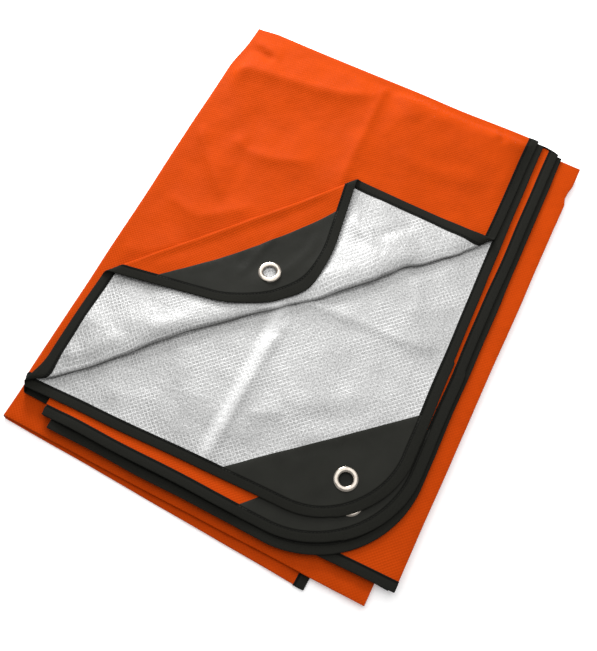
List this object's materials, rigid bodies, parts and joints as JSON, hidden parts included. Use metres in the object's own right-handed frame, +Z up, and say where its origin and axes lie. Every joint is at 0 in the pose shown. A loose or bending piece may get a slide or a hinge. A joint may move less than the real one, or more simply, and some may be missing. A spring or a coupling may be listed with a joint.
{
  "type": "folded emergency foil blanket",
  "caption": "Reflective survival blanket with a bound edge and corner grommets, folded flat into a pile with its top corner turned back",
  "frame": {"origin": "the middle of the pile's underside, at the centre of its bounding box", "axes": "+Y runs along the long side, to the folded head of the pile, +X along the short side, to the bound side, and +Z up"},
  "size_m": [0.4122, 0.5408, 0.029],
  "materials": {
    "laminate": "matte orange coated weave, with a bright aluminised film on the other face",
    "binding": "matte black woven tape",
    "patch_cloth": "smooth charcoal coated cloth",
    "grommet_metal": "polished nickel plate"
  },
  "bodies": {
    "root": {"sheet": "laminate", "tape_foot": "binding", "tape_side": "binding", "patch_1": "patch_cloth", "patch_2": "patch_cloth", "patch_3": "patch_cloth", "patch_4": "patch_cloth", "grommet_1": "grommet_metal", "grommet_2": "grommet_metal", "grommet_3": "grommet_metal", "grommet_4": "grommet_metal"}
  },
  "joints": []
}
